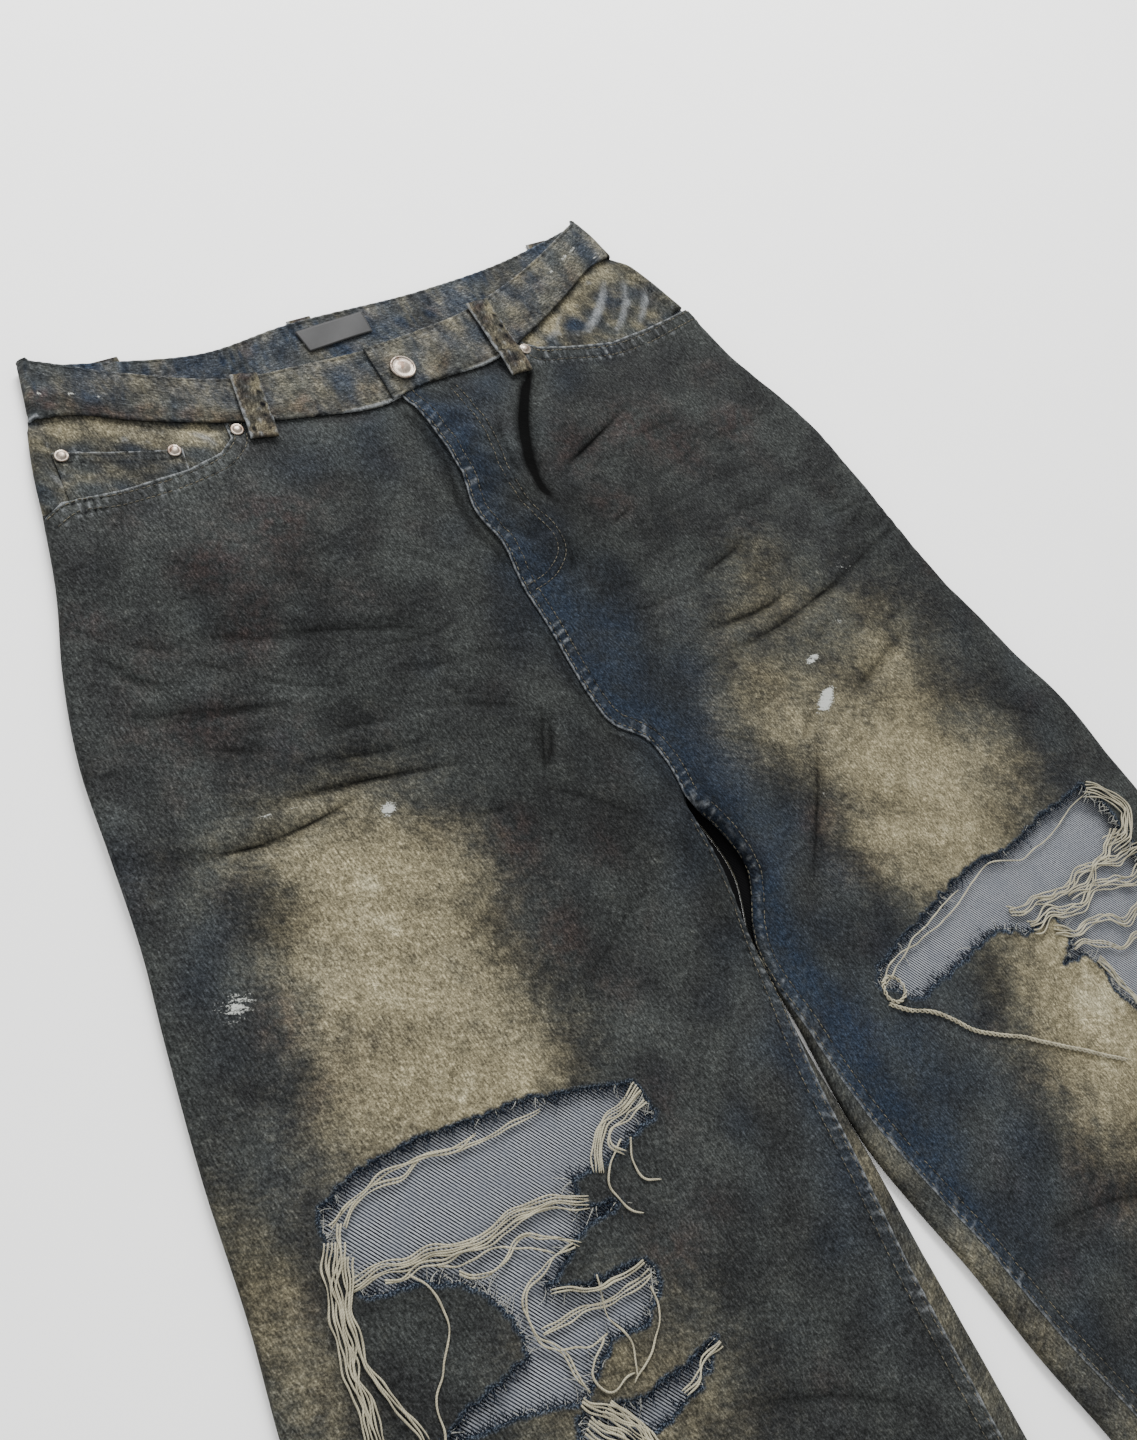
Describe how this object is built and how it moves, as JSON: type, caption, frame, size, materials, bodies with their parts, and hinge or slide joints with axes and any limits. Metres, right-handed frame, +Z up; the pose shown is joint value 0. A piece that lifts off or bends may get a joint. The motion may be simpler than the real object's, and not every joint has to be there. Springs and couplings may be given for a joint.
{
  "type": "ripped jeans laid flat",
  "caption": "Baggy wide-leg denim jeans laid flat, front up, with a buttoned fly, belt loops, pockets and knees torn open over pulled threads",
  "frame": {"origin": "on the surface that the jeans lie on, under the middle of the laid garment's bounding box", "axes": "+Y from the hems to the waist, +X towards the wearer's left leg, +Z up from the surface through the back to the front of the garment"},
  "size_m": [0.7296, 1.1036, 0.0131],
  "materials": {
    "denim": "washed dark denim with dusty faded thighs, matte twill",
    "denim_back": "washed denim, pale weft side showing through the rips, matte",
    "thread": "raw off-white cotton weft yarn",
    "label": "plain black woven satin, bare",
    "zip_tape": "dark woven zip tape",
    "antique_metal": "antique dull copper and nickel, worn"
  },
  "bodies": {
    "root": {"front_right": "denim", "front_left": "denim", "back_right": "denim_back", "back_left": "denim_back", "yoke_right": "denim_back", "yoke_left": "denim_back", "waistband": "denim", "pocket_facing_right": "denim", "pocket_facing_left": "denim", "coin_pocket": "denim", "back_pocket_right": "denim_back", "back_pocket_left": "denim_back", "belt_loop_front_right": "denim", "belt_loop_front_left": "denim", "belt_loop_back_right": "denim_back", "belt_loop_back_middle": "denim_back", "belt_loop_back_left": "denim_back", "zip_tape": "zip_tape", "zip_slider": "antique_metal", "button": "antique_metal", "rivet_coin_outer": "antique_metal", "rivet_coin_inner": "antique_metal", "rivet_pocket_right": "antique_metal", "rivet_pocket_left": "antique_metal", "label": "label", "rip_threads_top": "thread", "rip_threads_across": "thread", "rip_threads_hanging": "thread", "rip_threads_right": "thread", "rip_threads_low": "thread", "rip_threads_fringe": "thread", "left_rip_threads_top": "thread", "left_rip_threads_side": "thread", "left_rip_threads_cord": "thread"}
  },
  "joints": []
}
